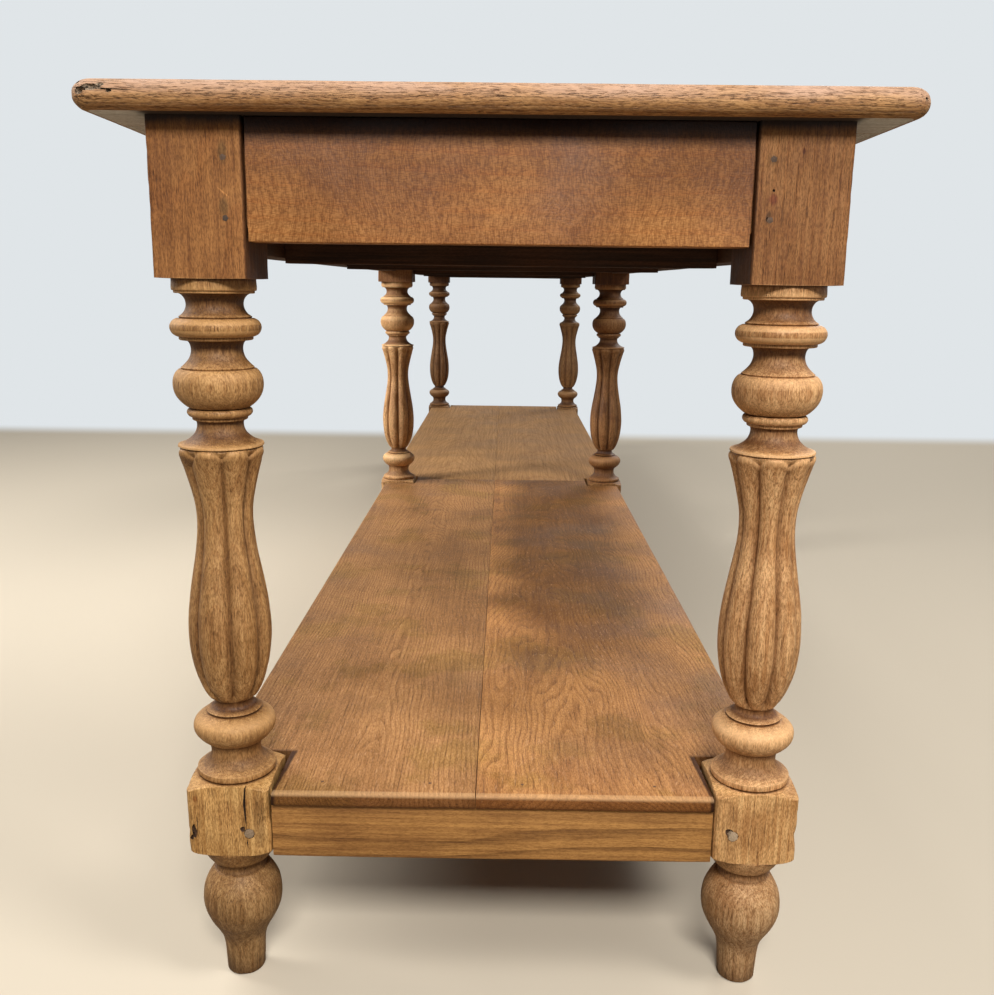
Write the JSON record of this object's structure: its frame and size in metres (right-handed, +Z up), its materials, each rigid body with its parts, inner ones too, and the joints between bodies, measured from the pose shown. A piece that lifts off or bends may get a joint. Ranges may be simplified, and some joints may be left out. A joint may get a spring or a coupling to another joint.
{
  "type": "drapers table",
  "caption": "Long oak draper's table: a clamped-end top on turned and reeded legs, tied by pegged aprons and by low stretchers that carry a notched board shelf.",
  "frame": {"origin": "on the floor under the middle of the table", "axes": "+Z up; +Y along the table, away from the end that the picture shows; +X across it, to the right seen from that end"},
  "size_m": [0.682, 3.128, 0.856],
  "materials": {
    "top_oak": "bare, sun-bleached and worn",
    "frame_oak": "stripped, dull wax",
    "shelf_oak": "stripped, dull wax",
    "inner_oak": "sawn, unfinished",
    "peg_oak": "bare end grain",
    "nail_iron": "dull, rusted"
  },
  "bodies": {
    "root": {"apron_far_end": "frame_oak", "apron_far_left": "frame_oak", "apron_far_right": "frame_oak", "apron_middle_cross": "inner_oak", "apron_near_end": "frame_oak", "apron_near_left": "frame_oak", "apron_near_right": "frame_oak", "bearer_far_inner": "inner_oak", "bearer_far_outer": "inner_oak", "bearer_near_inner": "inner_oak", "bearer_near_outer": "inner_oak", "breadboard_end_far": "top_oak", "breadboard_end_near": "top_oak", "breadboard_pegs": "peg_oak", "end_apron_pegs": "peg_oak", "end_stretcher_pegs": "peg_oak", "glue_blocks": "inner_oak", "leg_far_left": "frame_oak", "leg_far_right": "frame_oak", "leg_middle_left": "frame_oak", "leg_middle_right": "frame_oak", "leg_near_left": "frame_oak", "leg_near_right": "frame_oak", "shelf_board_far_left": "shelf_oak", "shelf_board_far_right": "shelf_oak", "shelf_board_near_left": "shelf_oak", "shelf_board_near_right": "shelf_oak", "shelf_nails": "nail_iron", "side_apron_pegs": "peg_oak", "side_stretcher_pegs": "peg_oak", "stretcher_far_end": "frame_oak", "stretcher_far_left": "frame_oak", "stretcher_far_right": "frame_oak", "stretcher_middle": "frame_oak", "stretcher_near_end": "frame_oak", "stretcher_near_left": "frame_oak", "stretcher_near_right": "frame_oak", "top_board_left": "top_oak", "top_board_middle": "top_oak", "top_board_right": "top_oak"}
  },
  "joints": []
}
